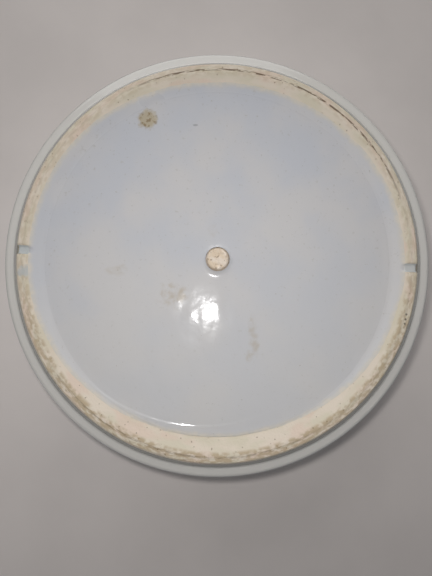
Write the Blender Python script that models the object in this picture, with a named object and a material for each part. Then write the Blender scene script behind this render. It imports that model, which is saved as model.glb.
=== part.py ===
"""Round stoneware serving bowl, standing upright on its foot ring.

Units are metres. +Z points up through the mouth, and the origin is the centre of the
circle on which the foot ring stands. The fired clay and the coats of glaze over it are
separate closed solids with a hairline gap between them.
"""
import math

import bmesh
import bpy
from mathutils import Matrix, Vector

# ---- driving dimensions --------------------------------------------------------------
RIM_DIAMETER = 0.254            # over the outside of the lip
HEIGHT = 0.080                  # foot to lip
WALL = 0.0065                   # clay and both coats together
WALL_FLARE = math.radians(5.2)  # lean of the wall away from upright
FLOOR = 0.0104                  # height of the inside of the bowl
INNER_RADIUS = 0.012            # inside, where the floor turns up into the wall

HEEL_RADIUS = 0.0030            # outside, where the wall turns in under the bowl
HEEL_HEIGHT = 0.0112            # height of that radius's centre
SHOULDER_TILT = math.radians(6.0)
COVE_RADIUS = 0.0018            # hollow between the shoulder and the foot
SIDE_TILT = math.radians(56.0)  # the foot's outer side, measured from level

GLAZE = 0.0005                  # thickness of a coat
GAP = 0.0003                    # hairline between neighbouring solids

FOOT_OUTER = 0.1103             # the foot ring at its eased outer edge
FOOT_EDGE = 0.0010              # chamfer that takes the sharp edge off the foot
LAND_OUTER = FOOT_OUTER - FOOT_EDGE
LAND_INNER = 0.1055             # the flat land that touches the table ends here
SLOPE_INNER = 0.0970            # foot of the ring's inner slope
RECESS = 0.0042                 # depth of the base inside the foot ring
BASE_COAT_EDGE = 0.1000         # the base glaze stops here, part of the way up the slope

PIP_RADIUS = 0.0056             # face of the support pip
PIP_ROOT_RADIUS = 0.0068        # the pip widens to this at the base
PIP_FACE = 0.0010               # the pip stops just short of the table
PIP_EDGE = 0.0004               # small chamfer round its face
PIP_PLACE = (-0.0002, 0.0012)   # the pip isn't quite in the middle of the base

NOTCH_ANGLES = {"a": math.radians(3.3), "b": math.radians(182.1)}
NOTCH_WIDTH = 0.0044
NOTCH_DEPTH = 0.0025

SEGMENTS = 72                   # facets round the bowl
PIP_SEGMENTS = 32
COVE_STEPS = 4
HEEL_STEPS = 5
LIP_STEPS = 6
INNER_STEPS = 6
SHARP_ANGLE = math.radians(35)  # creases steeper than this stay crisp

CLAY_TONE = (0.78, 0.70, 0.57)
FOOT_TONE = (0.80, 0.72, 0.58)
PIP_TONE = (0.76, 0.64, 0.52)
COAT_TONE = (0.56, 0.57, 0.61)
LINING_TONE = (0.60, 0.61, 0.64)
DRY = 0.9                       # roughness of bare fired clay
GLOSSY = 0.15                   # roughness of the glaze

# ---- sizes that follow ----------------------------------------------------------------
SKIN = GLAZE + GAP              # clay lies this far under the glazed surface
CLAY_UNDERSIDE = RECESS + SKIN
RING_TOP = CLAY_UNDERSIDE - GAP
UPRIGHT = math.pi / 2 - WALL_FLARE
LIP_RADIUS = WALL / 2
LIP_CENTRE = Vector((RIM_DIAMETER / 2 - LIP_RADIUS, HEIGHT - LIP_RADIUS))
SLOPE_RUN = LAND_INNER - SLOPE_INNER
SLOPE_LENGTH = math.hypot(SLOPE_RUN, RECESS)


def facing(tilt):
    """The outward normal of a surface that climbs outwards at a tilt from level."""
    return Vector((math.sin(tilt), -math.cos(tilt)))


def arc(centre, radius, start, stop, steps):
    """Points round a centre, from one facing to another; a hollow has a negative radius."""
    return [centre + radius * facing(start + (stop - start) * k / steps) for k in range(steps + 1)]


def wall_centre(height, reach):
    """Centre at a height whose circle, with this reach, touches the lip's wall line."""
    rise = LIP_CENTRE.y - height
    return Vector((LIP_CENTRE.x - (reach + rise * math.sin(WALL_FLARE)) / math.cos(WALL_FLARE), height))


def cove_centre(shoulder_end):
    """Centre of the hollow that touches both the foot's outer side and the shoulder."""
    side = facing(SIDE_TILT)
    shoulder = facing(SHOULDER_TILT)
    side_reach = side.dot(Vector((FOOT_OUTER, FOOT_EDGE))) + COVE_RADIUS
    shoulder_reach = shoulder.dot(shoulder_end) + COVE_RADIUS
    across = side.x * shoulder.y - side.y * shoulder.x
    return Vector((
        (side_reach * shoulder.y - shoulder_reach * side.y) / across,
        (side.x * shoulder_reach - shoulder.x * side_reach) / across,
    ))


def outer_surface():
    """The glazed outside, from the edge of the foot up to where the lip starts."""
    heel_centre = wall_centre(HEEL_HEIGHT, HEEL_RADIUS - LIP_RADIUS)
    heel = arc(heel_centre, HEEL_RADIUS, SHOULDER_TILT, UPRIGHT, HEEL_STEPS)
    cove = arc(cove_centre(heel[0]), -COVE_RADIUS, SIDE_TILT, SHOULDER_TILT, COVE_STEPS)
    start = Vector((FOOT_OUTER, FOOT_EDGE)) + SKIN * Vector((math.cos(SIDE_TILT), math.sin(SIDE_TILT)))
    return [start] + cove + heel + [LIP_CENTRE + LIP_RADIUS * facing(UPRIGHT)]


def inner_surface():
    """The lip and the glazed inside, from where the lip starts to the middle of the floor."""
    lip = arc(LIP_CENTRE, LIP_RADIUS, UPRIGHT, UPRIGHT + math.pi, LIP_STEPS)
    centre = wall_centre(FLOOR + INNER_RADIUS, INNER_RADIUS + LIP_RADIUS)
    corner = arc(centre, INNER_RADIUS, UPRIGHT, 0.0, INNER_STEPS)
    return lip + corner + [Vector((0.0, FLOOR))]


def inset(path, depth):
    """The same path moved square to itself into the clay, which is on its left."""
    normals = []
    for here, there in zip(path, path[1:]):
        along = (there - here).normalized()
        normals.append(Vector((-along.y, along.x)))
    pairs = zip([normals[0]] + normals, normals + [normals[-1]])
    return [point + depth * (a + b) / (1 + a.dot(b)) for point, (a, b) in zip(path, pairs)]


def split_at_height(path, height):
    """The parts of a rising path below and above a height, each ending on it."""
    for index, (low, high) in enumerate(zip(path, path[1:])):
        if low.y <= height < high.y:
            crossing = low.lerp(high, (height - low.y) / (high.y - low.y))
            return path[: index + 1] + [crossing], [crossing] + path[index + 1 :]
    raise ValueError("the path doesn't reach that height")


def slope_point(radius, depth):
    """A point under the ring's inner slope, at a depth square to its surface."""
    height = (LAND_INNER - radius) * RECESS / SLOPE_RUN
    return Vector((radius + depth * RECESS / SLOPE_LENGTH, height + depth * SLOPE_RUN / SLOPE_LENGTH))


def slope_at_height(height, depth):
    """Where a line under the slope, at a depth square to it, passes a height."""
    start = slope_point(LAND_INNER, depth)
    return Vector((start.x - (height - start.y) * SLOPE_RUN / RECESS, height))


def finish(name, shape, tone, roughness):
    """Turn a bmesh into a named object with its own material."""
    bmesh.ops.recalc_face_normals(shape, faces=shape.faces)
    mesh = bpy.data.meshes.new(name)
    shape.to_mesh(mesh)
    shape.free()
    mesh.shade_smooth()
    mesh.set_sharp_from_angle(angle=SHARP_ANGLE)
    material = bpy.data.materials.new(name)
    material.use_nodes = True
    shader = material.node_tree.nodes["Principled BSDF"]
    shader.inputs["Base Color"].default_value = (*tone, 1.0)
    shader.inputs["Roughness"].default_value = roughness
    shader.inputs["Metallic"].default_value = 0.0
    mesh.materials.append(material)
    item = bpy.data.objects.new(name, mesh)
    bpy.context.collection.objects.link(item)
    return item


def turned(outline, segments, closed):
    """Spin an outline of (radius, height) points round the Z axis."""
    shape = bmesh.new()
    points = [shape.verts.new((point.x, 0.0, point.y)) for point in outline]
    edges = [shape.edges.new(pair) for pair in zip(points, points[1:])]
    if closed:
        edges.append(shape.edges.new((points[-1], points[0])))
    bmesh.ops.spin(
        shape,
        geom=points + edges,
        cent=(0.0, 0.0, 0.0),
        axis=(0.0, 0.0, 1.0),
        angle=2 * math.pi,
        steps=segments,
    )
    bmesh.ops.remove_doubles(shape, verts=shape.verts, dist=1e-6)
    return shape


def box(size, centre, angle):
    """A box placed at a centre on the +X side and then swung round the Z axis."""
    shape = bmesh.new()
    place = Matrix.Rotation(angle, 4, "Z") @ Matrix.Translation(Vector(centre))
    bmesh.ops.create_cube(shape, size=1.0, matrix=place @ Matrix.Diagonal((*size, 1.0)))
    return shape


def cut(item, tool_name, tool_shape):
    """Cut a shape out of an item; the cutter stays in the file as a wire guide."""
    tool = finish(tool_name, tool_shape, CLAY_TONE, DRY)
    tool.hide_render = True
    tool.display_type = "WIRE"
    cutting = item.modifiers.new(tool_name, "BOOLEAN")
    cutting.operation = "DIFFERENCE"
    cutting.solver = "EXACT"
    cutting.object = tool


# ---- the fired clay --------------------------------------------------------------------
def clay_body():
    """Floor, heel, wall and lip of plain clay, one turned shell under all the glaze."""
    surface = inset(outer_surface()[:-1] + inner_surface(), SKIN)
    outline = [Vector((0.0, CLAY_UNDERSIDE))] + split_at_height(surface, CLAY_UNDERSIDE)[1]
    return finish("clay_body", turned(outline, SEGMENTS, closed=False), CLAY_TONE, DRY)


def foot_ring():
    """The dry foot: a flat land, an eased outer edge and a long slope on the inside."""
    step_radius = BASE_COAT_EDGE + GAP
    inner_side = [slope_at_height(RING_TOP, SKIN), slope_point(step_radius, SKIN)]
    bare = [
        slope_point(step_radius, 0.0),
        Vector((LAND_INNER, 0.0)),
        Vector((LAND_OUTER, 0.0)),
        Vector((FOOT_OUTER, FOOT_EDGE)),
    ]
    outer_side = split_at_height(inset(outer_surface(), SKIN), RING_TOP)[0]
    ring_shape = turned(inner_side + bare + outer_side, SEGMENTS, closed=True)
    ring = finish("foot_ring", ring_shape, FOOT_TONE, DRY)
    length = 2 * (FOOT_OUTER - BASE_COAT_EDGE)
    size = (length, NOTCH_WIDTH, 2 * NOTCH_DEPTH)
    for label, angle in NOTCH_ANGLES.items():
        place = (BASE_COAT_EDGE + length / 2, 0.0, 0.0)
        cut(ring, "notch_cutter_" + label, box(size, place, angle))
    return ring


def support_pip():
    """The low stud that held up the middle of the base in the kiln."""
    outline = [
        Vector((0.0, PIP_FACE)),
        Vector((PIP_RADIUS - PIP_EDGE, PIP_FACE)),
        Vector((PIP_RADIUS, PIP_FACE + PIP_EDGE)),
        Vector((PIP_ROOT_RADIUS, RING_TOP)),
        Vector((0.0, RING_TOP)),
    ]
    shape = turned(outline, PIP_SEGMENTS, closed=False)
    bmesh.ops.translate(shape, verts=shape.verts, vec=(*PIP_PLACE, 0.0))
    return finish("support_pip", shape, PIP_TONE, DRY)


# ---- the coats of glaze -----------------------------------------------------------------
def outer_glaze():
    """The coat on the outside, from the side of the foot up to the lip."""
    surface = outer_surface()
    down = GAP * (surface[-2] - surface[-1]).normalized()
    surface[-1] = surface[-1] + down
    outline = surface + list(reversed(inset(surface, GLAZE)))
    return finish("outer_glaze", turned(outline, SEGMENTS, closed=True), COAT_TONE, GLOSSY)


def inner_glaze():
    """The lining: the coat over the lip, the inside of the wall and the floor."""
    surface = inner_surface()
    outline = list(reversed(surface)) + inset(surface, GLAZE)
    return finish("inner_glaze", turned(outline, SEGMENTS, closed=False), LINING_TONE, GLOSSY)


def base_glaze():
    """The coat on the recessed base, which climbs part of the ring's slope."""
    outline = [
        Vector((0.0, RECESS)),
        Vector((SLOPE_INNER, RECESS)),
        slope_point(BASE_COAT_EDGE, 0.0),
        slope_point(BASE_COAT_EDGE, GLAZE),
        slope_at_height(RECESS + GLAZE, GLAZE),
        Vector((0.0, RECESS + GLAZE)),
    ]
    coat = finish("base_glaze", turned(outline, SEGMENTS, closed=False), COAT_TONE, GLOSSY)
    hole = bmesh.new()
    bmesh.ops.create_cone(
        hole,
        cap_ends=True,
        segments=PIP_SEGMENTS,
        radius1=PIP_ROOT_RADIUS + GAP,
        radius2=PIP_ROOT_RADIUS + GAP,
        depth=RECESS,
        matrix=Matrix.Translation((*PIP_PLACE, RECESS)),
    )
    cut(coat, "pip_cutter", hole)
    return coat


def notch_glaze(label, angle):
    """The run of glaze on the roof of one drain notch."""
    inner_end = BASE_COAT_EDGE + 3 * GAP
    outer_end = FOOT_OUTER - 2 * GAP
    size = (outer_end - inner_end, NOTCH_WIDTH - 2 * GAP, GLAZE)
    place = ((inner_end + outer_end) / 2, 0.0, NOTCH_DEPTH - GAP - GLAZE / 2)
    return finish("notch_glaze_" + label, box(size, place, angle), COAT_TONE, GLOSSY)


def build():
    """Clear the file and model the bowl."""
    for item in list(bpy.data.objects):
        bpy.data.objects.remove(item, do_unlink=True)
    clay_body()
    foot_ring()
    support_pip()
    outer_glaze()
    inner_glaze()
    base_glaze()
    for label, angle in NOTCH_ANGLES.items():
        notch_glaze(label, angle)


build()
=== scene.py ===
# %% [markdown]
# # A glazed stoneware serving bowl
# This lesson makes the look of a round serving bowl around a model of its real sizes.
# The bowl stands upright, but its story is told underneath: a dry foot ring, a recessed
# base under pale glaze, a small kiln pip near the middle, and two drain notches.
# So the main camera looks up at it from below.
# The first step loads the sized model. Its parts are called nodes. They never move here:
# a node either gets a better material, or a finer piece takes its place.

# %% Load the sized model
import math

import bpy
import numpy as np
from mathutils import Matrix, Vector, noise


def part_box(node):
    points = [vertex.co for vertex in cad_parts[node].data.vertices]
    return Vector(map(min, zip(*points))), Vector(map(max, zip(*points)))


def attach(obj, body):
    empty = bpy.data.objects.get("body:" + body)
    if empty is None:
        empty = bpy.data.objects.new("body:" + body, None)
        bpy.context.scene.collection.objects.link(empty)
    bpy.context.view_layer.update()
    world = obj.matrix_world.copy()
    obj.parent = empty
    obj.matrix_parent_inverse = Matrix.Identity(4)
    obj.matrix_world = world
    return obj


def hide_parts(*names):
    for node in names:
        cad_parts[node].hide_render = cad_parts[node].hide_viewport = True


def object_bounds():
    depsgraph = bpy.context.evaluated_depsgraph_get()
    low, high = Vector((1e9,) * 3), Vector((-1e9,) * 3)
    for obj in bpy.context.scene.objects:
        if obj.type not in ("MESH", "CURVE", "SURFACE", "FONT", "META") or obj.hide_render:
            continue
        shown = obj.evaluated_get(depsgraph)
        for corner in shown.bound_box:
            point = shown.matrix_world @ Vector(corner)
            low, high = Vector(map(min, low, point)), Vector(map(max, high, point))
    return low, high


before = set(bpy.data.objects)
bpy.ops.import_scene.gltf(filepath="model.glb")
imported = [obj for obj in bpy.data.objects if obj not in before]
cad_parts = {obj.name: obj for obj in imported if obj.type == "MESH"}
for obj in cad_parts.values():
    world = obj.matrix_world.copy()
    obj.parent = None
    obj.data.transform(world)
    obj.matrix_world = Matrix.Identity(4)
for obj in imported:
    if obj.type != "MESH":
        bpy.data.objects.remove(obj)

cad_low, cad_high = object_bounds()
print("nodes:", sorted(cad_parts))
print("size in mm:", [round(1000 * (b - a), 1) for a, b in zip(cad_low, cad_high)])

# %% [markdown]
# ## Reading sizes off the model
# Every size that a box can give is read from the model, so that the pieces still fit when
# the model is changed. Radii and slopes can't be read from a box, and they are named
# here: how the wall leans, how the heel turns in, and how the foot ring is cut.

# %% Sizes
MM = 0.001
COAT = 0.5 * MM
WALL = 6.5 * MM
WALL_LEAN = math.radians(5.2)
INNER_RADIUS = 12.0 * MM
HEEL_RADIUS = 3.0 * MM
HEEL_HEIGHT = 11.2 * MM
SHOULDER_TILT = math.radians(6.0)
COVE_RADIUS = 1.8 * MM
SIDE_TILT = math.radians(56.0)
FOOT_OUTER = 110.3 * MM
FOOT_EDGE = 1.0 * MM
LAND_OUTER = FOOT_OUTER - FOOT_EDGE
LAND_INNER = 105.5 * MM
SLOPE_INNER = 97.0 * MM

RIM_RADIUS = cad_high.x
HEIGHT = cad_high.z
RING_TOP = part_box("foot_ring")[1].z
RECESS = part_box("base_glaze")[1].z - COAT
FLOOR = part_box("inner_glaze")[0].z + COAT
pip_low, pip_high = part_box("support_pip")
PIP_CENTRE = Vector(((pip_low.x + pip_high.x) / 2, (pip_low.y + pip_high.y) / 2))
PIP_ROOT = (pip_high.x - pip_low.x) / 2
PIP_FACE = pip_low.z
run_middles = [sum(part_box(node), Vector()) / 2 for node in ("notch_glaze_a", "notch_glaze_b")]
NOTCH_ANGLES = [math.atan2(middle.y, middle.x) for middle in run_middles]
NOTCH_HALF = 2.2 * MM
NOTCH_DEPTH = 2.0 * MM
print(f"rim {RIM_RADIUS / MM:.1f}, recess {RECESS / MM:.1f}, floor {FLOOR / MM:.1f} mm")
print("notches at", [round(math.degrees(angle), 1) for angle in NOTCH_ANGLES], "degrees")

# %% [markdown]
# ## Small helpers
# An operator acts on everything that is selected, so each new piece starts by clearing
# the selection. `start_line` leaves one vertex in edit mode, and `draw_line` extrudes it
# along an outline, which is how an outline is drawn by hand with E and G.


# %% Helpers for drawing
def clear_selection():
    if bpy.context.object and bpy.context.object.mode != "OBJECT":
        bpy.ops.object.mode_set(mode="OBJECT")
    bpy.ops.object.select_all(action="DESELECT")


def pick(piece):
    """Select one piece alone, as the active one."""
    clear_selection()
    piece.select_set(True)
    bpy.context.view_layer.objects.active = piece


def edit_all():
    """Go into edit mode with every point selected."""
    bpy.ops.object.mode_set(mode="EDIT")
    bpy.ops.mesh.select_all(action="SELECT")


def name_piece(name):
    """Name the new piece and bring its origin to the bowl's."""
    piece = bpy.context.object
    piece.name = name
    piece.data.name = name
    bpy.ops.object.transform_apply(location=True, rotation=False, scale=False)
    return piece


def start_line(name, place):
    clear_selection()
    bpy.ops.mesh.primitive_plane_add(size=MM)
    piece = name_piece(name)
    edit_all()
    bpy.ops.mesh.select_mode(type="VERT")
    bpy.ops.mesh.merge(type="CENTER")
    bpy.ops.transform.translate(value=place)
    return piece


def draw_line(points):
    for here, there in zip(points, points[1:]):
        step = Vector(there) - Vector(here)
        bpy.ops.mesh.extrude_vertices_move(TRANSFORM_OT_translate={"value": step})


def spin_round(name, outline, steps):
    """Draw an outline of (radius, height) points and spin it once round the axis."""
    piece = start_line(name, (outline[0][0], 0.0, outline[0][1]))
    draw_line([(radius, 0.0, height) for radius, height in outline])
    bpy.ops.mesh.select_all(action="SELECT")
    middle, axis = (0.0, 0.0, 0.0), (0.0, 0.0, 1.0)
    bpy.ops.mesh.spin(
        steps=steps, angle=2 * math.pi, center=middle, axis=axis, use_auto_merge=False
    )
    close_shape()
    return piece


def raise_solid(height):
    """Extrude the whole piece upwards and close it."""
    edit_all()
    bpy.ops.mesh.extrude_region_move(TRANSFORM_OT_translate={"value": (0.0, 0.0, height)})
    close_shape()


def close_shape():
    """Merge the seam and the poles, then point every face outwards."""
    bpy.ops.mesh.select_all(action="SELECT")
    bpy.ops.mesh.remove_doubles(threshold=1e-6)
    bpy.ops.mesh.normals_make_consistent(inside=False)
    bpy.ops.object.mode_set(mode="OBJECT")


# %% [markdown]
# `shape_points` is the one way that code moves points: a function takes every point and
# gives back where it should be, as a sculpting brush would. `wave` is smooth noise for
# such a brush, and `ease` is the soft step that fades a change in and out.

# %% Helpers for shaping and finishing
SMOOTH_ANGLE = math.radians(50)


def shape_points(piece, move):
    """Move every point of a piece: move() takes and gives an array of x, y, z rows."""
    mesh = piece.data
    flat = np.empty(3 * len(mesh.vertices), dtype=np.float32)
    mesh.vertices.foreach_get("co", flat)
    moved = move(flat.reshape(-1, 3).astype(float))
    mesh.vertices.foreach_set("co", moved.astype(np.float32).ravel())
    mesh.update()


def wave(points, length, seed):
    """Smooth noise from -1 to 1 at each point; length is about one hill and one hollow."""
    shift = Vector((seed * 3.7, seed * 1.3, seed * 7.1))
    return np.array([noise.noise(Vector(point) / length + shift) for point in points])


def radius_of(points):
    """Distance of each point from the axis, or length of each offset."""
    return np.hypot(points[:, 0], points[:, 1])


def angle_of(points):
    """Direction of each point round the axis."""
    return np.arctan2(points[:, 1], points[:, 0])


def ease(value, low, high):
    """0 below low, 1 above high, and a smooth rise between them."""
    share = np.clip((value - low) / (high - low), 0.0, 1.0)
    return share * share * (3.0 - 2.0 * share)


def thicken(piece, depth):
    """Give an open skin its thickness on the side away from its normals."""
    coat = piece.modifiers.new("coat", "SOLIDIFY")
    coat.thickness = depth
    coat.offset = -1.0
    coat.use_even_offset = True
    pick(piece)
    bpy.ops.object.modifier_apply(modifier=coat.name)


def finish_piece(piece, slot, *nodes):
    """Shade a piece smooth, tie it to the bowl, and print its size; the slot is not used."""
    pick(piece)
    bpy.ops.object.shade_smooth_by_angle(angle=SMOOTH_ANGLE)
    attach(piece, "root")
    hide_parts(*nodes)
    size = [round(side / MM, 1) for side in piece.dimensions]
    print(piece.name, "size in mm", size, "faces", len(piece.data.polygons))


# %% [markdown]
# ## The outline of the bowl
# A potter shapes a bowl against a rib, a flat tool cut to half of its outline. The code
# does the same: round stretches are arcs, and what lies between them is straight.
# Tilts are measured from level: 0 faces straight down, and 90 degrees straight out.


# %% Half outline of the glazed surface
def facing(tilt):
    """The outward direction of a surface that climbs outwards at a tilt from level."""
    return Vector((math.sin(tilt), -math.cos(tilt)))


def arc(centre, radius, start, stop, steps):
    """Points from one facing to another; a hollow has a negative radius."""
    return [centre + radius * facing(turn) for turn in np.linspace(start, stop, steps + 1)]


def straight(start, stop, steps):
    """Points between two ends, without the ends."""
    return [start.lerp(stop, share) for share in np.linspace(0.0, 1.0, steps + 2)[1:-1]]


def meet(first, first_reach, second, second_reach):
    """The point that lies at a reach along each of two directions."""
    across = first.x * second.y - first.y * second.x
    return Vector((
        (first_reach * second.y - second_reach * first.y) / across,
        (first.x * second_reach - second.x * first_reach) / across,
    ))


LIP_RADIUS = WALL / 2
UPRIGHT = math.pi / 2 - WALL_LEAN
lip_centre = Vector((RIM_RADIUS - LIP_RADIUS, HEIGHT - LIP_RADIUS))


def wall_centre(height, reach):
    """Centre at a height whose circle, with this reach, touches the wall's line."""
    rise = lip_centre.y - height
    across = (reach + rise * math.sin(WALL_LEAN)) / math.cos(WALL_LEAN)
    return Vector((lip_centre.x - across, height))


side = facing(SIDE_TILT)
shoulder = facing(SHOULDER_TILT)
side_up = Vector((math.cos(SIDE_TILT), math.sin(SIDE_TILT)))
foot_corner = Vector((FOOT_OUTER, FOOT_EDGE))
heel_centre = wall_centre(HEEL_HEIGHT, HEEL_RADIUS - LIP_RADIUS)
heel_line = shoulder.dot(heel_centre) + HEEL_RADIUS
side_line = side.dot(foot_corner)
cove_centre = meet(side, side_line + COVE_RADIUS, shoulder, heel_line + COVE_RADIUS)
inner_centre = wall_centre(FLOOR + INNER_RADIUS, INNER_RADIUS + LIP_RADIUS)
print(f"heel at {(heel_centre.x + HEEL_RADIUS) / MM:.1f} mm, cove at {cove_centre.x / MM:.1f} mm")

# %% [markdown]
# ## The glaze on the outside and the inside
# The glaze is one continuous skin: up the outside, over the lip and down to the middle
# of the floor. It could be sculpted, but every cut across a turned bowl is the same, so
# half an outline and one Spin is the shortest honest way.

# %% Draw and spin the glaze skin
WIPED = 0.8 * MM
SKIN_STEPS = 288

wiped_edge = foot_corner + WIPED * side_up
outline = [wiped_edge] + arc(cove_centre, -COVE_RADIUS, SIDE_TILT, SHOULDER_TILT, 12)
outline += straight(outline[-1], heel_centre + HEEL_RADIUS * shoulder, 4)
outline += arc(heel_centre, HEEL_RADIUS, SHOULDER_TILT, UPRIGHT, 14)
lip_round = arc(lip_centre, LIP_RADIUS, UPRIGHT, UPRIGHT + math.pi, 16)
outline += straight(outline[-1], lip_round[0], 18) + lip_round
inner_corner = arc(inner_centre, INNER_RADIUS, UPRIGHT, 0.0, 16)
outline += straight(outline[-1], inner_corner[0], 14) + inner_corner
middle = Vector((0.0, FLOOR))
outline += straight(outline[-1], middle, 26) + [middle]

skin = spin_round("glaze_skin", outline, SKIN_STEPS)
print("outline points:", len(outline))

# %% [markdown]
# A freshly closed open skin can come out facing inwards, because it has no inside yet.


# %% Turn the skin to face outwards
def wall_faces_out(piece):
    outer = [f for f in piece.data.polygons if f.center.xy.length > RIM_RADIUS - 0.4 * WALL]
    return sum(f.normal.xy.dot(f.center.xy) for f in outer) > 0


if not wall_faces_out(skin):
    pick(skin)
    edit_all()
    bpy.ops.mesh.flip_normals()
    bpy.ops.object.mode_set(mode="OBJECT")
print("faces point out:", wall_faces_out(skin))

# %% [markdown]
# No fired bowl is perfectly true. A slow wave of a tenth of a millimetre in the wall is
# enough to make the reflections wander as they do on real glaze. The lower edge, where
# the glaze was sponged off the foot, wanders too. Both the glaze and the foot use
# `sponge_line`, so that they part along the same line.

# %% Uneven wall and sponged lower edge
SPONGE_WANDER = 0.45 * MM
WALL_WANDER = 0.12 * MM
FLOOR_WANDER = 0.08 * MM
SHOULDER_WANDER = 0.05 * MM


def round_place(points, radius):
    """The points brought onto one circle, so that noise runs on round the ring."""
    reach = np.maximum(radius_of(points), 1e-9)[:, None]
    return np.hstack([points[:, :2] / reach * radius, np.zeros((len(points), 1))])


def sponge_line(points):
    """How far up the foot's side the glaze starts, beside the drawn line."""
    return SPONGE_WANDER * wave(round_place(points, FOOT_OUTER), 12 * MM, 3)


def uneven_skin(points):
    out = points.copy()
    away = round_place(points, 1.0)
    height = points[:, 2]
    wall = ease(height, 12 * MM, 24 * MM)
    out += away * (WALL_WANDER * wave(points, 45 * MM, 1) * wall)[:, None]
    radius = radius_of(points)
    floor = ease(inner_centre.x - radius, -4 * MM, 10 * MM) * (height > FLOOR - 0.1 * MM)
    out[:, 2] += FLOOR_WANDER * wave(points, 30 * MM, 2) * floor
    below = ease(radius, 114.5 * MM, 116.5 * MM) * (1 - ease(height, 9 * MM, 11 * MM))
    out[:, 2] += SHOULDER_WANDER * wave(points, 25 * MM, 4) * below
    at_edge = height < wiped_edge.y + 0.01 * MM
    shift = sponge_line(points[at_edge])[:, None]
    out[at_edge] += shift * (side_up.x * away[at_edge] + [0.0, 0.0, side_up.y])
    return out


shape_points(skin, uneven_skin)
thicken(skin, COAT)
finish_piece(skin, "outer_coat", "outer_glaze", "inner_glaze")

# %% [markdown]
# ## The surface under the bowl
# Three pieces share the same ground underneath: the dry foot, the base glaze that runs
# down its slope, and the runs of glaze in the drain notches. So that ground is written
# once, as functions of a point. `soft_low` and `soft_high` blend two heights the way a
# finger smooths the line where two clay surfaces meet. The notches' depth, NOTCH_DEPTH,
# is a little less than the model's, because glaze rounds and fills such cuts.

# %% The ground that the pieces share
SLOPE = RECESS / (LAND_INNER - SLOPE_INNER)
HOLLOW_BLEND = 1.0 * MM
NOTCH_LIP = 1.0 * MM
NOTCH_SHOULDER = 0.8 * MM
CLEARANCE = 0.03 * MM


def soft_low(first, second, blend):
    share = np.clip(0.5 + 0.5 * (second - first) / np.maximum(blend, 1e-9), 0.0, 1.0)
    return second + (first - second) * share - blend * share * (1.0 - share)


def soft_high(first, second, blend):
    return -soft_low(-first, -second, blend)


def groove(points):
    """Depth of the drain notches at each point."""
    depth = np.zeros(len(points))
    for angle in NOTCH_ANGLES:
        out = points[:, 0] * math.cos(angle) + points[:, 1] * math.sin(angle)
        across = np.abs(points[:, 1] * math.cos(angle) - points[:, 0] * math.sin(angle))
        cut = 1.0 - ease(across, NOTCH_HALF - NOTCH_LIP, NOTCH_HALF + NOTCH_SHOULDER)
        depth = np.maximum(depth, np.where(out > 0.0, NOTCH_DEPTH * cut, 0.0))
    return depth


def grooved(height, points):
    """A height with the notches pressed into it."""
    depth = groove(points)
    return soft_high(height, depth, 0.25 * depth)


def bare_slope(radius):
    """The foot ring's inner slope, carried on upwards under the base."""
    return (LAND_INNER - radius) * SLOPE


# %% [markdown]
# The notches are only a few millimetres wide on a ring 690 mm round. More steps all the
# way round would be wasteful, so the steps are drawn together where the notches are.

# %% Draw the steps together at the notches
NOTCH_REACH = math.radians(14)
NOTCH_CROWDING = 1.6


def draw_together(points, low, high):
    """Turn points towards the nearest notch, with more effect from radius low to high."""
    out = points.copy()
    radius = radius_of(points)
    angle = angle_of(points)
    turned = angle.copy()
    for notch in NOTCH_ANGLES:
        away = (angle - notch + math.pi) % (2 * math.pi) - math.pi
        share = np.abs(away) / NOTCH_REACH
        near = share < 1.0
        crowded = np.sign(away) * NOTCH_REACH * share**NOTCH_CROWDING
        turned = np.where(near, angle + (crowded - away) * ease(radius, low, high), turned)
    out[:, 0] = radius * np.cos(turned)
    out[:, 1] = radius * np.sin(turned)
    return out


# %% [markdown]
# ## The dry foot ring
# The foot is the part that was sponged clean of glaze, so the bare fired clay shows: a
# long slope on the inside, a narrow land that touches the table, and an eased outer
# edge. It is a closed outline spun round the axis, and the notches are then pressed in
# by moving points, as the potter's finger did before the clay dried.

# %% Outline of the foot ring
FOOT_STEPS = 720
EDGE_ROUND = 1.0 * MM
UNDERCUT = 0.6 * MM
edge_centre = meet(facing(0.0), -EDGE_ROUND, side, side_line - EDGE_ROUND)
step_out = foot_corner + (WIPED + 0.15 * MM) * side_up
step_in = step_out - UNDERCUT * side
ring_top = meet(Vector((0.0, 1.0)), RING_TOP - CLEARANCE, side, side_line - UNDERCUT)
slope_top = Vector((LAND_INNER - RING_TOP / SLOPE, RING_TOP - CLEARANCE))

slope_foot = Vector((LAND_INNER + 0.4 * MM, 0.0))
section = [slope_top] + straight(slope_top, Vector((LAND_INNER, 0.0)), 15) + [slope_foot]
edge_round = arc(edge_centre, EDGE_ROUND, 0.0, SIDE_TILT, 5)
section += straight(slope_foot, edge_round[0], 4) + edge_round + [step_out, step_in]
section += straight(step_in, ring_top, 2) + [ring_top]
section += straight(ring_top, slope_top, 4) + [slope_top]
foot = spin_round("dry_foot_ring", section, FOOT_STEPS)
print("points round the section:", len(section) - 1)

# %% [markdown]
# Fired clay that was sponged and then worn on shelves isn't smooth. Three sizes of
# roughness are enough: slow swells, a grain of 3 to 7 mm, and a few chips along the
# outer edge. Nothing may reach below the table, so heights are kept at zero or above.

# %% Press the notches and roughen the clay
GRAIN = 0.05 * MM
SWELL = 0.12 * MM
CHIP_COUNT = 26
CHIP_DEPTH = 0.35 * MM
chip_random = np.random.default_rng(7)
chip_angles = chip_random.uniform(0.0, 2 * math.pi, CHIP_COUNT)
chip_sizes = chip_random.uniform(0.6, 1.7, CHIP_COUNT) * MM


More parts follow.
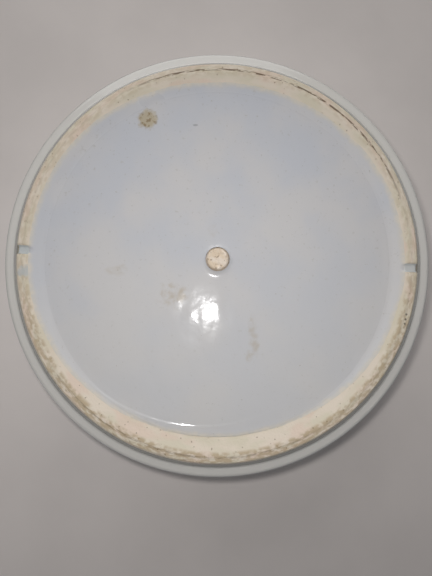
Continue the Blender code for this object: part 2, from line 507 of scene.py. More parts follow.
def chips(points):
    depth = np.zeros(len(points))
    for angle, size in zip(chip_angles, chip_sizes):
        place = (LAND_OUTER + 0.4 * MM) * np.array([math.cos(angle), math.sin(angle), 0.0])
        away = np.linalg.norm((points - place) / [1.0, 1.0, 1.4], axis=1)
        depth = np.maximum(depth, CHIP_DEPTH * (1.0 - ease(away, 0.3 * size, size)))
    return depth


def shape_foot(points):
    out = draw_together(points, 0.0, MM)
    radius = radius_of(out)
    depth = groove(out)
    lifted = depth + out[:, 2] * (1.0 - depth / RING_TOP)
    out[:, 2] = np.where(radius < LAND_OUTER - 0.01 * MM, grooved(out[:, 2], out), lifted)
    bare = 1.0 - ease(out[:, 2], RING_TOP - 0.8 * MM, RING_TOP - 0.2 * MM)
    grain = 0.6 * wave(out, 7 * MM, 11) + 0.4 * wave(out, 2.6 * MM, 12)
    swell = SWELL * (0.6 + wave(out, 30 * MM, 13)) * (radius > LAND_INNER)
    out[:, 2] += bare * (GRAIN * (1 + grain) + swell + chips(out))
    on_step = np.abs(points[:, 2] - (step_out.y + step_in.y) / 2) < 0.25 * MM
    out[:, 2] += np.where(on_step & (radius > LAND_OUTER), sponge_line(points) * side_up.y, 0.0)
    out[:, 2] = np.clip(out[:, 2], 0.0, RING_TOP - CLEARANCE)
    return out


shape_points(foot, shape_foot)
finish_piece(foot, "dry_foot", "foot_ring")

# %% [markdown]
# ## The glaze on the recessed base
# The base glaze is a thin pool: nearly flat in the middle, drawn up a little round the
# pip, gathered in the hollow where the foot's slope starts, and ending part of the way
# up that slope in a soft bead. Its edge was left by a sponge, so it is neither round nor
# even. It starts as a circle round the pip that is extruded and scaled, ring by ring.

# %% Rings of the base glaze
BASE_STEPS = 432
COLLAR = PIP_ROOT + 0.25 * MM
PLAIN_EDGE = 100.0 * MM
WIDE_START, WIDE_RINGS, WIDE_STEP = 15.0 * MM, 86.0 * MM, 2.0 * MM
FINE_COUNT = 30


def ring_radii():
    """Fine steps at the pip and on the slope, where the shape changes quickly."""
    near = COLLAR + np.array([0.0, 0.3, 0.7, 1.2, 1.9, 2.8, 4.0, 5.6]) * MM
    wide = np.arange(WIDE_START, WIDE_RINGS, WIDE_STEP)
    fine = np.linspace(WIDE_RINGS, PLAIN_EDGE, FINE_COUNT)
    return np.concatenate([near, wide, fine])


def ring_centre(radius):
    """The rings start round the pip and settle on the axis of the bowl."""
    return PIP_CENTRE * float(1.0 - ease(radius, 9 * MM, 45 * MM))


clear_selection()
bpy.ops.mesh.primitive_circle_add(
    vertices=BASE_STEPS, radius=COLLAR, location=(*PIP_CENTRE, RECESS)
)
base = name_piece("base_glaze_pool")
edit_all()
radii = ring_radii()
for here, there in zip(radii, radii[1:]):
    centre = ring_centre(here)
    move = ring_centre(there) - centre
    grow = there / here
    bpy.ops.mesh.extrude_edges_move()
    bpy.ops.transform.resize(value=(grow, grow, 1.0), center_override=(*centre, RECESS))
    bpy.ops.transform.translate(value=(move.x, move.y, 0.0))
raise_solid(COAT)
print("rings:", len(radii), "points:", len(base.data.vertices))

# %% [markdown]
# The edge of the coat is a sum of a few slow waves round the circle, plus a small quick
# one where the sponge skipped. The surface is the shared ground, made proud by a bead at
# the edge and rippled everywhere: thick glaze sets with a skin like orange peel, and it
# is that ripple that breaks a reflected lamp into patches. Three marks of the making are
# added: the glaze climbs the pip's side a little, the trimming tool left a low step on
# the -Y side, which drifts outwards, and one tear of glaze is thicker near the edge.

# %% Shape the base glaze
BEAD_WIDTH = 3.0 * MM
PROUD = 0.12 * MM
EDGE_LOW, EDGE_HIGH = 92 * MM, 97 * MM
MENISCUS = 1.4 * MM
MENISCUS_REACH = 0.9 * MM
PIP_SIDE = 0.33
TRIM_STEP = 0.30 * MM
TRIM_MIDDLE = math.radians(-70)
TRIM_SPREAD = math.radians(24)
TRIM_START = 92.5 * MM
TRIM_RISE = 1.3 * MM
TRIM_DRIFT = 8.2 * MM
TEAR_DEPTH = 0.18 * MM
TEAR_ANGLE = math.radians(68)
TEAR_SPREAD = 6 / 98
TEAR_RADIUS = 98.5 * MM
TEAR_WIDTH = 2.2 * MM


def coat_edge(points):
    """Radius at which the base glaze stops, in the direction of each point."""
    angle = angle_of(points)
    slow = 101.3 + 0.65 * np.cos(angle) + 2.0 * np.sin(angle)
    slow += 2.6 * np.cos(2 * angle) + 0.3 * np.sin(2 * angle)
    circle = round_place(points, PLAIN_EDGE)
    quick = 0.55 * wave(circle, 16 * MM, 21) + 0.3 * wave(circle, 5 * MM, 22)
    return np.minimum((slow + quick) * MM, LAND_INNER - 1.6 * MM)


def ripple(points):
    """Unevenness of the glaze: slow, then patchy brush laps, then orange peel."""
    slow = wave(points, 70 * MM, 30)
    laps = wave(points * [1.0, 0.55, 1.0], 7 * MM, 31)
    peel = wave(points, 3.4 * MM, 32)
    return MM * (0.16 * slow + 0.13 * laps + 0.010 * peel)


def trimming(radius, angle):
    """The low step that the trimming tool left."""
    turned = angle - TRIM_MIDDLE
    start = TRIM_START + TRIM_DRIFT * turned
    step = TRIM_STEP * np.exp(-((turned / TRIM_SPREAD) ** 2))
    return step * ease(radius, start, start + TRIM_RISE) * (1.0 - ease(radius, 96 * MM, 99 * MM))


def tear(radius, angle):
    """The thicker tear of glaze near the edge."""
    away = np.hypot((TEAR_ANGLE - angle) / TEAR_SPREAD, (radius - TEAR_RADIUS) / TEAR_WIDTH)
    return TEAR_DEPTH * np.exp(-(away**2))


def shape_base(points):
    out = points.copy()
    radius = radius_of(points)
    stretch = np.clip((radius - WIDE_RINGS) / (PLAIN_EDGE - WIDE_RINGS), 0.0, None)
    wanted = WIDE_RINGS + stretch * (coat_edge(points) - WIDE_RINGS)
    scale = np.where(stretch > 0.0, wanted / np.maximum(radius, MM), 1.0)
    out[:, :2] *= scale[:, None]
    out = draw_together(out, 60 * MM, 88 * MM)
    radius = radius_of(out)
    angle = angle_of(out)
    near_edge = ease(radius, EDGE_LOW, EDGE_HIGH)
    flat = out * [1.0, 1.0, 0.0]
    inside = np.clip((coat_edge(flat) - radius) / BEAD_WIDTH, 0.0, 1.0)
    bead = PROUD * np.sqrt(1.0 - (1.0 - inside) ** 2) * near_edge
    ground = np.minimum(RECESS, bare_slope(radius))
    pool = soft_low(RECESS, bare_slope(radius), HOLLOW_BLEND) - ground
    fade = ease(inside, 0.0, 1.0)
    front = grooved(ground + pool * fade, out) - 2 * CLEARANCE - bead
    front += ripple(flat) * fade * (1.0 - 0.6 * near_edge)
    outwards = out[:, :2] - np.array(PIP_CENTRE)
    from_pip = radius_of(outwards)
    climb = MENISCUS * np.exp(-np.clip(from_pip - PIP_ROOT, 0.0, None) / MENISCUS_REACH)
    front -= climb + tear(radius, angle) + trimming(radius, angle)
    on_back = points[:, 2] > RECESS + COAT / 2
    out[:, :2] -= outwards * (PIP_SIDE * climb * ~on_back / from_pip)[:, None]
    back = np.minimum(RECESS + COAT, grooved(bare_slope(radius), out)) - CLEARANCE
    out[:, 2] = np.where(on_back, back, np.minimum(front, back - 0.01 * MM))
    return out


shape_points(base, shape_base)
finish_piece(base, "base_coat", "base_glaze")
lowest = min(vertex.co.z for vertex in base.data.vertices)
print("lowest point of the base glaze:", round(lowest / MM, 2), "mm")

# %% [markdown]
# Near its edge the coat thins out and the cream clay shows through. How near a point is
# to the edge is worked out here, where the edge is known, and kept on the mesh as an
# attribute, which the glaze's material reads later.

# %% Keep how thin the glaze is
THIN_WIDTH = 3.0 * MM


def keep_thinness(piece, thinness):
    """Store a value from 0, full coat, to 1, bare clay, at each point of a piece."""
    mesh = piece.data
    places = np.array([vertex.co[:] for vertex in mesh.vertices])
    layer = mesh.attributes.new("thin_glaze", "FLOAT", "POINT")
    layer.data.foreach_set("value", thinness(places).astype(np.float32))


def base_thinness(points):
    flat = points * [1.0, 1.0, 0.0]
    distance = coat_edge(flat) - radius_of(points) + 0.8 * MM * wave(flat, 4 * MM, 23)
    return (1.0 - ease(distance, 0.0, THIN_WIDTH)) * (1.0 - groove(flat) / NOTCH_DEPTH)


keep_thinness(base, base_thinness)

# %% [markdown]
# ## The kiln pip
# A wide base sags when it is fired, so the potter left a stud of clay near its middle to
# stand on the kiln shelf. It is a short cylinder, narrowed to its face, with the edge
# rounded by a bevel and the face inset again and again, so that there are enough points
# to make it lumpy and pitted.


# %% Model the pip
def select_faces(piece, wanted):
    """Select the faces that wanted() picks, by their middle or their normal."""
    bpy.ops.object.mode_set(mode="EDIT")
    bpy.ops.mesh.select_mode(type="FACE")
    bpy.ops.mesh.select_all(action="DESELECT")
    bpy.ops.object.mode_set(mode="OBJECT")
    for face in piece.data.polygons:
        face.select = wanted(face)
    bpy.ops.object.mode_set(mode="EDIT")


PIP_STEPS = 112
PIP_RADIUS = 5.6 * MM
PIP_BEVEL = 0.6 * MM
PIP_INSETS = 11
pip_depth = RING_TOP - CLEARANCE - PIP_FACE

clear_selection()
bpy.ops.mesh.primitive_cylinder_add(
    vertices=PIP_STEPS, radius=PIP_ROOT - CLEARANCE, depth=pip_depth,
    location=(*PIP_CENTRE, PIP_FACE + pip_depth / 2),
)
pip = name_piece("kiln_pip")
select_faces(pip, lambda face: face.normal.z < -0.9)
narrowing = PIP_RADIUS / PIP_ROOT
pivot = (*PIP_CENTRE, PIP_FACE)
bpy.ops.transform.resize(value=(narrowing, narrowing, 1.0), center_override=pivot)
bpy.ops.mesh.bevel(offset=PIP_BEVEL, segments=4, affect="EDGES")
bpy.ops.object.mode_set(mode="OBJECT")
select_faces(pip, lambda face: face.normal.z < -0.99 and len(face.vertices) > 4)
inset_step = (PIP_RADIUS - PIP_BEVEL) / (PIP_INSETS + 1)
for _ in range(PIP_INSETS):
    bpy.ops.mesh.inset(thickness=inset_step, depth=0.0)
bpy.ops.mesh.poke()
close_shape()


def lumpy(points):
    """Wobble the pip's outline, and pit, lump and dish its face, in millimetres."""
    out = points.copy()
    offset = points[:, :2] - np.array(PIP_CENTRE)
    reach = radius_of(offset)
    free = 1.0 - ease(points[:, 2], 1.5 * MM, 2.6 * MM)
    stretch = 1.0 + 0.05 * wave(points * [1.0, 1.0, 0.2], 6 * MM, 41) * free
    out[:, :2] = np.array(PIP_CENTRE) + offset * stretch[:, None]
    face = 1.0 - ease(points[:, 2], PIP_FACE + 0.2 * MM, PIP_FACE + 1.0 * MM)
    pits = 0.22 * ease(wave(points, 1.9 * MM, 42), 0.18, 0.45)
    lumps = 0.16 * (1.0 + wave(points, 3.4 * MM, 43)) + 0.03 * wave(points, 0.9 * MM, 44)
    dish = 0.12 * (1.0 - ease(reach, 2 * MM, 5 * MM))
    out[:, 2] += face * MM * np.maximum(pits + lumps + dish, 0.0)
    return out


shape_points(pip, lumpy)
finish_piece(pip, "dry_pip", "support_pip")

# %% [markdown]
# ## Glaze in the drain notches
# A notch lets water run out of the recess in the wash. The sponge didn't reach into
# either one, so each kept a run of glaze, from the edge of the base glaze to the outside
# of the foot. A run starts as a grid that is extruded upwards, and it is then laid on
# the roof and sides of its notch.

# %% Lay the runs of glaze
RUN_HALF = 2.35 * MM
RUN_END = FOOT_OUTER - 0.35 * MM
RUN_DEPTH = 0.24 * MM
RUN_GAP = 0.08 * MM
RUN_LOWEST = 0.1 * MM


def lay_run(angle):
    """A function that lays a unit grid into the notch at an angle."""
    across = Vector((-math.sin(angle), math.cos(angle), 0.0))
    along = Vector((math.cos(angle), math.sin(angle), 0.0))

    def lay(points):
        width = 2 * RUN_HALF * points[:, 1]
        guide = PLAIN_EDGE * np.array(along) + np.outer(width, across)
        start = coat_edge(guide) + RUN_GAP
        reach = start + (points[:, 0] + 0.5) * (RUN_END - start)
        out = np.outer(reach, along) + np.outer(width, across)
        edge_rise = 0.9 * MM * ease(reach, LAND_OUTER - 0.1 * MM, FOOT_OUTER)
        ground = np.maximum(bare_slope(reach), 0.0)
        depth = groove(out)
        lifted = depth + edge_rise * (1.0 - depth / RING_TOP)
        clay = np.where(reach < LAND_OUTER, grooved(ground, out), lifted)
        sides = np.sqrt(np.clip(1.0 - (2 * points[:, 1]) ** 2, 0.0, 1.0))
        ends = np.sqrt(np.clip(1.0 - np.abs(2 * points[:, 0]) ** 6, 0.0, 1.0))
        swell = 1.0 + 0.35 * wave(out, 3 * MM, 51)
        front = clay - CLEARANCE - 0.02 * MM - RUN_DEPTH * swell * sides * ends
        front = np.maximum(front, RUN_LOWEST)
        out[:, 2] = np.where(points[:, 2] > 0.0, clay - CLEARANCE, front)
        return out

    return lay


def glaze_run(label, angle):
    clear_selection()
    bpy.ops.mesh.primitive_grid_add(
        x_subdivisions=34, y_subdivisions=26, size=1.0, location=(0.0, 0.0, -0.5)
    )
    run = name_piece("notch_glaze_run_" + label)
    raise_solid(1.0)
    shape_points(run, lay_run(angle))
    finish_piece(run, "notch_coat", "notch_glaze_" + label)
    return run


runs = [glaze_run(label, angle) for label, angle in zip("ab", NOTCH_ANGLES)]

# %% [markdown]
# ## Finishes
# A finish is a small network of nodes. To keep each one readable, `Finish` gives every
# node that is used here a short name: `noise`, `ramp`, `mix` and so on. All patterns
# start from the object's own coordinates, in metres, so a patch has a real size.
# Colours are given as paint chips, from 0 to 255, and turned into light values.


# %% A short way to write a finish
def paint(red, green, blue):
    """A paint chip's colour as the light values that a shader needs."""
    shares = np.array([red, green, blue]) / 255.0
    light = np.where(shares > 0.04045, ((shares + 0.055) / 1.055) ** 2.4, shares / 12.92)
    return (*[float(value) for value in light], 1.0)


class Finish:
    """The node tree of one finish."""

    def __init__(self, name):
        self.material = bpy.data.materials.new(name)
        self.material.use_nodes = True
        self.tree = self.material.node_tree
        self.shader = self.tree.nodes["Principled BSDF"]
        self.place = self.add("ShaderNodeTexCoord").outputs["Object"]

    def add(self, kind, *given, **settings):
        """Add a node, and feed its first inputs with what is given."""
        node = self.tree.nodes.new(kind)
        for key, value in settings.items():
            setattr(node, key, value)
        for socket, value in zip(node.inputs, given):
            self.feed(socket, value)
        return node

    def feed(self, socket, value):
        if isinstance(value, bpy.types.NodeSocket):
            self.tree.links.new(value, socket)
        else:
            socket.default_value = value

    def vector(self, operation, *values):
        node = self.add("ShaderNodeVectorMath", *values, operation=operation)
        single = operation in ("LENGTH", "DOT_PRODUCT")
        return node.outputs["Value" if single else "Vector"]

    def sum(self, operation, first, second):
        return self.add("ShaderNodeMath", first, second, operation=operation).outputs[0]

    def times(self, first, second):
        return self.sum("MULTIPLY", first, second)

    def noise(self, length, detail=2.0, place=None):
        """Soft noise around 0.5, with patches of about this length."""
        node = self.add("ShaderNodeTexNoise", place or self.place)
        node.inputs["Scale"].default_value = 1.0 / length
        node.inputs["Detail"].default_value = detail
        return node.outputs["Fac"]

    def cells(self, length):
        """Distance to the nearest of many scattered points, in lengths."""
        node = self.add("ShaderNodeTexVoronoi", self.place)
        node.inputs["Scale"].default_value = 1.0 / length
        return node.outputs["Distance"]

    def ramp(self, value, low, high, start=0.0, stop=1.0):
        """A soft step from start to stop, as the value goes from low to high."""
        given = value, low, high, start, stop
        node = self.add("ShaderNodeMapRange", *given, interpolation_type="SMOOTHSTEP")
        return node.outputs["Result"]

    def mix(self, share, first, second):
        node = self.add("ShaderNodeMix", data_type="RGBA")
        for index, value in ((0, share), (6, first), (7, second)):
            self.feed(node.inputs[index], value)
        return node.outputs[2]

    def patchy(self, noise, low, high, first, second):
        """Two tones that follow a noise, parted between low and high."""
        return self.mix(self.ramp(noise, low, high), first, second)

    def stain(self, mask, tone, share):
        """Lay a share of a tone over the colour, where the mask is."""
        self.colour = self.mix(self.times(mask, share), self.colour, tone)

    def side(self, direction, low, high):
        """0 to 1 across the bowl, as a place moves from low to high along a direction."""
        return self.ramp(self.vector("DOT_PRODUCT", self.place, direction), low, high)

    def reach(self):
        """Distance from the axis of the bowl."""
        return self.vector("LENGTH", self.vector("MULTIPLY", self.place, (1.0, 1.0, 0.0)))

    def ring_noise(self, along, across, detail):
        """Noise that follows the ring, in patches of along by across."""
        flat = self.vector("MULTIPLY", self.place, (1.0, 1.0, 0.0))
        circle = self.vector("NORMALIZE", flat)
        turn = self.vector("MULTIPLY", circle, (FOOT_OUTER / along,) * 3)
        lift = self.vector("MULTIPLY", self.place, (0.0, 0.0, 1.0 / across))
        up = self.add("ShaderNodeCombineXYZ")
        self.feed(up.inputs["Z"], self.sum("DIVIDE", self.reach(), across))
        place = self.vector("ADD", self.vector("ADD", turn, lift), up.outputs["Vector"])
        return self.noise(1.0, detail, place)

    def band(self, value, low, high, soft):
        """1 between low and high, and 0 outside them."""
        rise = self.ramp(value, low - soft, low + soft)
        return self.times(rise, self.ramp(value, high - soft, high + soft, 1.0, 0.0))

    def spot(self, centre, size, rough=0.0, grain=3 * MM):
        """1 in a soft-edged spot, given in millimetres; rough breaks up its edge."""
        middle = (centre[0] * MM, centre[1] * MM, RECESS)
        away = self.vector("SUBTRACT", self.place, middle)
        shares = [1.0 / (reach * MM) for reach in (*size, 8)]
        scaled = self.vector("MULTIPLY", away, shares)
        distance = self.vector("LENGTH", scaled)
        if rough:
            shift = self.times(self.sum("SUBTRACT", self.noise(grain, 3.0), 0.5), rough)
            distance = self.sum("ADD", distance, shift)
        return self.ramp(distance, 1.15, 0.6)

    def bump(self, height, depth, under=None):
        node = self.add("ShaderNodeBump")
        node.inputs["Distance"].default_value = depth
        self.feed(node.inputs["Height"], height)
        if under:
            self.feed(node.inputs["Normal"], under)
        return node.outputs["Normal"]

    def finish(self, roughness, normal):
        """Connect what varies and hand the material over."""
        self.feed(self.shader.inputs["Base Color"], self.colour)
        self.feed(self.shader.inputs["Roughness"], roughness)
        self.feed(self.shader.inputs["Normal"], normal)
        return self.material


# %% [markdown]
# ## Glaze
# Every glazed surface of the bowl is the same pale blue-grey gloss. It could be one flat
# colour, but real glaze is never that: it is a little cooler where it is thick, it
# flows into wide soft patches, it holds pinholes where bubbles burst, and its gloss
# varies a little. `glaze` builds that once, and each coat then adds its own marks.


# %% The shared glaze
def glaze(name, cool, warm):
    """A finish with the glaze's colour, gloss and surface, which a coat can add to."""
    coat = Finish(name)
    coat.shader.inputs["IOR"].default_value = 1.52
    coat.shader.inputs["Coat Weight"].default_value = 0.15
    coat.shader.inputs["Coat Roughness"].default_value = 0.04
    coat.colour = coat.patchy(coat.noise(42 * MM, 3.0), 0.35, 0.65, cool, warm)
    fine = coat.noise(2.2 * MM, 4.0)
    speckle = coat.patchy(fine, 0.62, 0.72, coat.colour, paint(176, 172, 164))
    coat.colour = coat.mix(0.35, coat.colour, speckle)
    pinholes = coat.ramp(coat.cells(7 * MM), 0.045, 0.02)
    coat.stain(pinholes, paint(120, 110, 98), 0.35)
    peel = coat.bump(coat.noise(5 * MM), 0.07 * MM)
    coat.normal = coat.bump(coat.times(pinholes, -1.0), 0.05 * MM, peel)
    coat.roughness = coat.ramp(coat.noise(18 * MM), 0.3, 0.7, 0.08, 0.14)
    return coat


# %% [markdown]
# The base coat has the bowl's history on it: the brown remains of a round label, tan
# stains where it stood wet, and one short scuff. Its -Y side is painted paler and warmer,
# as painted light where more lamp light falls, so the +Y side stays bluer. Its edge thins
# to cream, read from the attribute kept earlier, and it is duller on the slope of the
# foot, except at the tear, which keeps its gloss.

# %% Finish of the base glaze
BASE_COOL = paint(199, 200, 205)
BASE_WARM = paint(208, 205, 204)
DULL_LOW, DULL_HIGH = 95 * MM, 97 * MM
DULL_SHARE = 0.36


def base_finish():
    coat = glaze("base_glaze_finish", BASE_COOL, BASE_WARM)
    # Painted light: the -Y side is painted paler and warmer, as if more lamp light fell there.
    lower = coat.side((0.0, -1.0, 0.0), -60 * MM, 90 * MM)
    coat.stain(lower, paint(212, 209, 206), 0.6)
    label = coat.spot((39.1, 80.3), (5.8, 5.8), 0.9, 2.4 * MM)
    coat.stain(label, paint(184, 170, 142), 0.88)
    flecks = coat.times(label, coat.ramp(coat.noise(1.7 * MM, 5.0), 0.46, 0.66))
    coat.stain(flecks, paint(132, 108, 74), 0.8)
    wet_marks = [
        ((23.5, -18.8), (10, 6.5), 0.45),
        ((-19.8, -44.9), (3.4, 14), 0.35),
        ((56.7, -4.9), (7, 3), 0.22),
        ((2.9, 17.1), (2.5, 4), 0.16),
    ]
    for centre, size, share in wet_marks:
        mark = coat.spot(centre, size, 1.8, 7 * MM)
        grains = coat.ramp(coat.noise(4.5 * MM, 5.0), 0.36, 0.68)
        coat.stain(coat.times(mark, grains), paint(176, 156, 122), share)
    coat.stain(coat.spot((12.3, 77.0), (1.6, 0.7), 0.5), paint(120, 118, 118), 0.45)
    coat.stain(coat.ramp(coat.noise(1.1 * MM, 4.0), 0.70, 0.76), paint(150, 138, 118), 0.5)
    thin = coat.add("ShaderNodeAttribute", attribute_name="thin_glaze").outputs["Fac"]
    cream_tones = paint(222, 212, 196), paint(212, 206, 196)
    cream = coat.patchy(coat.noise(3 * MM, 3.0), 0.35, 0.65, *cream_tones)
    coat.stain(thin, cream, 0.92)
    dull = coat.times(coat.ramp(coat.reach(), DULL_LOW, DULL_HIGH), DULL_SHARE)
    at_tear = coat.spot((37.0, 90.8), (8, 5))
    dull = coat.times(dull, coat.ramp(at_tear, 0.0, 0.6, 1.0, 0.0))
    rough = coat.sum("ADD", coat.sum("ADD", coat.roughness, dull), coat.times(thin, 0.22))
    rough = coat.sum("ADD", rough, coat.times(label, 0.3))
    return coat.finish(rough, coat.normal)


base.data.materials.append(base_finish())
print("base finish nodes:", len(base.data.materials[0].node_tree.nodes))

# %% [markdown]
# The outside and the inside share one coat, a touch darker than the base. Below the heel
# it is paler, except in the cove beside the foot, which is darkened as painted shade.
# The inside shows faint scuffs.

# %% Finish of the outside and inside, and of the runs
SKIN_COOL = paint(190, 194, 201)
SKIN_WARM = paint(202, 200, 197)


def skin_finish():
    coat = glaze("glaze_skin_finish", SKIN_COOL, SKIN_WARM)
    height = coat.add("ShaderNodeSeparateXYZ", coat.place).outputs["Z"]
    below = coat.ramp(height, 11.5 * MM, 10 * MM)
    coat.stain(below, paint(222, 218, 211), 0.95)
    # Painted shade: the cove beside the foot is painted dark, where shade falls.
    cove = coat.times(coat.band(coat.reach(), 108 * MM, 114.2 * MM, 0.5 * MM), below)
    coat.stain(cove, paint(118, 116, 109), 0.9)
    inside = coat.ramp(coat.reach(), 104 * MM, 96 * MM)
    drawn_out = coat.vector("MULTIPLY", coat.place, (60.0, 420.0, 60.0))
    scuffs = coat.ramp(coat.noise(1.0, 5.0, drawn_out), 0.62, 0.70)
    coat.stain(coat.times(scuffs, inside), paint(160, 160, 160), 0.25)
    return coat.finish(coat.roughness, coat.normal)


def run_finish():
    coat = glaze("notch_glaze_finish", paint(200, 204, 203), paint(207, 207, 204))
    return coat.finish(coat.roughness, coat.normal)


skin.data.materials.append(skin_finish())
run_material = run_finish()
for run in runs:
    run.data.materials.append(run_material)

# %% [markdown]
# ## Dry clay
# Where the clay is bare it is cream, with pink and yellow patches from the firing. The
# foot has picked up dirt where it stands: a tan band on the land, a thin broken line of
# wear that follows the ring, and dark specks. A film of glaze lies beside one notch.
# Patterns here use `ring_noise`, so that streaks run round the foot.

# %% Finish of the dry foot
LINE_LOW, LINE_HIGH = 106.3 * MM, 107.3 * MM
LINE_ANGLE = math.radians(112)


def foot_finish():
    clay = Finish("dry_foot_finish")
    tones = paint(228, 215, 198), paint(219, 209, 188)
    clay.colour = clay.patchy(clay.ring_noise(16 * MM, 3 * MM, 3.0), 0.38, 0.62, *tones)
    pink = clay.ramp(clay.ring_noise(22 * MM, 5 * MM, 2.0), 0.52, 0.66)
    clay.stain(pink, paint(226, 203, 186), 0.6)
    reach = clay.reach()
    streaks = clay.ring_noise(3.6 * MM, 1.5 * MM, 4.0)
    lower = clay.side((0.0, -1.0, 0.0), -30 * MM, 60 * MM)
    on_land = clay.band(reach, 104.2 * MM, 109.8 * MM, 0.9 * MM)
    dirt = clay.times(on_land, clay.ramp(streaks, 0.36, 0.60))
    dirt = clay.times(dirt, clay.ramp(lower, 0.0, 1.0, 0.35, 0.85))
    clay.colour = clay.mix(dirt, clay.colour, paint(190, 170, 140))
    broken = clay.ramp(clay.ring_noise(5 * MM, 0.6 * MM, 4.0), 0.45, 0.53)
    line = clay.times(clay.band(reach, LINE_LOW, LINE_HIGH, 0.3 * MM), broken)
    line_side = (math.cos(LINE_ANGLE), math.sin(LINE_ANGLE), 0.0)
    worn = clay.side(line_side, 62 * MM, 90 * MM)
    worn_low = clay.side((0.25, -1.0, 0.0), 70 * MM, 100 * MM)
    wear = clay.sum("MAXIMUM", clay.times(worn, 0.9), clay.times(worn_low, 0.45))
    wear = clay.sum("MAXIMUM", wear, 0.12)
    clay.stain(line, paint(98, 76, 54), wear)
    specks = clay.ramp(clay.cells(3.1 * MM), 0.16, 0.08)
    clay.stain(specks, paint(132, 104, 74), clay.ramp(streaks, 0.4, 0.6, 0.1, 0.55))
    for place in ((-103.2, -29.4), (-102.8, -32.1), (-102.3, -34.5)):
        clay.stain(clay.spot(place, (0.8, 0.8), 0.6, MM), paint(62, 52, 42), 0.8)
    film = clay.spot((105.2, -5.7), (6, 4), 1.0)
    clay.stain(film, paint(190, 194, 194), 0.8)
    rough = clay.ramp(film, 0.0, 1.0, 0.82, 0.35)
    grain = clay.bump(clay.noise(1.2 * MM, 5.0), 0.16 * MM)
    scored = clay.bump(streaks, 0.12 * MM, grain)
    normal = clay.bump(clay.times(specks, -1.0), 0.15 * MM, scored)
    return clay.finish(rough, normal)


foot.data.materials.append(foot_finish())

# %% [markdown]
# The pip is the same clay, pinker, and its pits hold dirt. Under the glaze the body is
# bare clay that nobody sees, but a section or a chip would show it, so it gets the same
# care in a plainer form.


# %% Finish of the pip and of the body
def pip_finish():
    clay = Finish("dry_pip_finish")
    tones = paint(236, 221, 204), paint(226, 206, 182)
    clay.colour = clay.patchy(clay.noise(4 * MM, 3.0), 0.4, 0.6, *tones)
    pits = clay.ramp(clay.noise(1.5 * MM, 3.0), 0.60, 0.68)
    clay.stain(pits, paint(128, 100, 72), 0.5)
    clay.stain(clay.ramp(clay.cells(2.3 * MM), 0.16, 0.07), paint(84, 66, 50), 0.35)
    grain = clay.bump(clay.noise(0.8 * MM, 5.0), 0.14 * MM)
    normal = clay.bump(clay.times(pits, -1.0), 0.2 * MM, grain)
    return clay.finish(clay.ramp(pits, 0.0, 1.0, 0.8, 0.92), normal)


def body_finish():
    clay = Finish("fired_clay_finish")
    tones = paint(226, 214, 194), paint(214, 200, 178)
    clay.colour = clay.patchy(clay.noise(14 * MM, 4.0), 0.35, 0.65, *tones)
    specks = clay.ramp(clay.cells(4 * MM), 0.12, 0.06)
    clay.stain(specks, paint(140, 114, 84), 0.4)
    normal = clay.bump(clay.noise(1.5 * MM, 5.0), 0.12 * MM)
    return clay.finish(clay.ramp(specks, 0.0, 1.0, 0.85, 0.95), normal)


pip.data.materials.append(pip_finish())
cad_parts["clay_body"].material_slots[0].material = body_finish()

# %% [markdown]
# ## The camera
# The camera looks up at the base from close by, a little off the axis, as someone would
# who has turned the bowl over to see its foot. Its three axes are worked out from where
# it looks, so that +Y is up in the picture.

# %% Place the camera
CAMERA_PLACE = Vector((1.4, -23.3, -235.9)) * MM
CAMERA_TARGET = Vector((0.7, -15.0, 0.0)) * MM
LENS = 27.0

ahead = (CAMERA_TARGET - CAMERA_PLACE).normalized()
up = (Vector((0.0, 1.0, 0.0)) - ahead.y * ahead).normalized()
across = ahead.cross(up)
camera_data = bpy.data.cameras.new("camera")
camera_data.lens = LENS
camera_data.clip_start = 0.01
camera = bpy.data.objects.new("camera", camera_data)
bpy.context.collection.objects.link(camera)
turn = Matrix((across, up, -ahead)).transposed()
camera.matrix_world = Matrix.Translation(CAMERA_PLACE) @ turn.to_4x4()
bpy.context.scene.camera = camera
print("camera tilt:", round(math.degrees(math.asin(ahead.y)), 1), "degrees")

# %% [markdown]
# ## Light
# Plain studio light. A small lamp beside the lens lights the base and throws the narrow
# shadow behind the bowl. It is hidden from reflections, and a weaker `glint_lamp` below
# the lens makes the bright patch on the glaze instead, so that the patch can be as
# gentle as wanted. A wide lamp on the +Y side rakes the foot, and three lamps above the
# table are for the views from the side. A pale world fills the shadows.

# %% Lamps and world
WORLD_TONE = (0.93, 0.95, 1.0, 1.0)
WORLD_STRENGTH = 0.15


def lamp(name, place, size, power, unseen=()):
    """A round lamp, aimed at the middle of the base and unseen by the rays named."""
    light = bpy.data.lights.new(name, "AREA")
    light.shape = "DISK"
    light.size = size
    light.energy = power
    item = bpy.data.objects.new(name, light)
    aim = (Vector((0.0, 0.0, RECESS)) - Vector(place)).to_track_quat("-Z", "Y")
    item.matrix_world = Matrix.Translation(place) @ aim.to_matrix().to_4x4()
    for ray in ("camera", *unseen):
        setattr(item, "visible_" + ray, False)
    bpy.context.collection.objects.link(item)


lens_lamp_place = CAMERA_PLACE + Vector((9.0, 13.0, 0.0)) * MM
glint_lamp_place = CAMERA_PLACE + Vector((11.0, -10.5, 0.0)) * MM
lamp("lens_lamp", lens_lamp_place, 16 * MM, 0.33, ("glossy",))
lamp("glint_lamp", glint_lamp_place, 12 * MM, 0.075, ("diffuse",))
lamp("raking_lamp", (0.12, 0.95, -0.38), 1.2, 4.7)
lamp("high_lamp", (-0.10, -0.16, 1.2), 0.5, 7.5)
lamp("front_fill", (0.85, -0.60, 0.55), 0.9, 6.5, ("glossy",))
lamp("back_fill", (-0.75, 0.75, 0.55), 0.9, 5.0, ("glossy",))

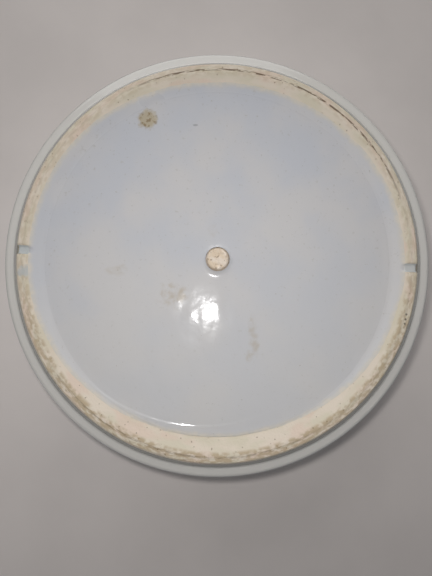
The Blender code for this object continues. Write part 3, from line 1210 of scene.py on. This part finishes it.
world = bpy.data.worlds.new("pale_room")
world.use_nodes = True
background = world.node_tree.nodes["Background"]
background.inputs["Color"].default_value = WORLD_TONE
background.inputs["Strength"].default_value = WORLD_STRENGTH
bpy.context.scene.world = world
bpy.context.scene.view_settings.view_transform = "Standard"

# %% [markdown]
# ## The stage
# The floor is a plain pale sheet under the foot. The main camera is below it, so the
# sheet is one-sided: from behind it is clear. A second one-sided sheet lies behind the
# mouth of the bowl, for the view from below. It is tipped by a few degrees, so that
# cameras at the sides are behind it and don't see it. Neither sheet throws a shadow.

# %% One-sided sheets
SHEET_SIZE = 6.0
SHEET_TIP = 0.078
SHEET_SHADE = 0.93


def stage_sheet(name, place, normal, tone):
    clear_selection()
    bpy.ops.mesh.primitive_plane_add(size=SHEET_SIZE)
    sheet = name_piece(name)
    tipped = Vector(normal).to_track_quat("Z", "Y").to_matrix().to_4x4()
    sheet.matrix_world = Matrix.Translation(place) @ tipped
    cover = Finish(name + "_finish")
    darker = (*[SHEET_SHADE * light for light in tone[:3]], 1.0)
    cloudy = cover.patchy(cover.noise(0.09, 4.0), 0.3, 0.7, tone, darker)
    cover.feed(cover.shader.inputs["Base Color"], cloudy)
    cover.shader.inputs["Roughness"].default_value = 0.9
    behind = cover.add("ShaderNodeNewGeometry").outputs["Backfacing"]
    clear = cover.add("ShaderNodeBsdfTransparent").outputs[0]
    choose = cover.add("ShaderNodeMixShader", behind, cover.shader.outputs[0], clear)
    cover.feed(cover.tree.nodes["Material Output"].inputs["Surface"], choose.outputs[0])
    sheet.data.materials.append(cover.material)
    for ray in ("diffuse", "glossy", "transmission", "volume_scatter", "shadow"):
        setattr(sheet, "visible_" + ray, False)


sheet_rise = math.sqrt(2) * SHEET_TIP * RIM_RADIUS + 0.5 * MM
back_place, back_normal = (0.0, 0.0, HEIGHT + sheet_rise), (-SHEET_TIP, SHEET_TIP, -1.0)
stage_sheet("floor", (0.0, 0.0, 0.0), (0.0, 0.0, 1.0), paint(226, 224, 221))
stage_sheet("back_sheet", back_place, back_normal, paint(234, 225, 219))
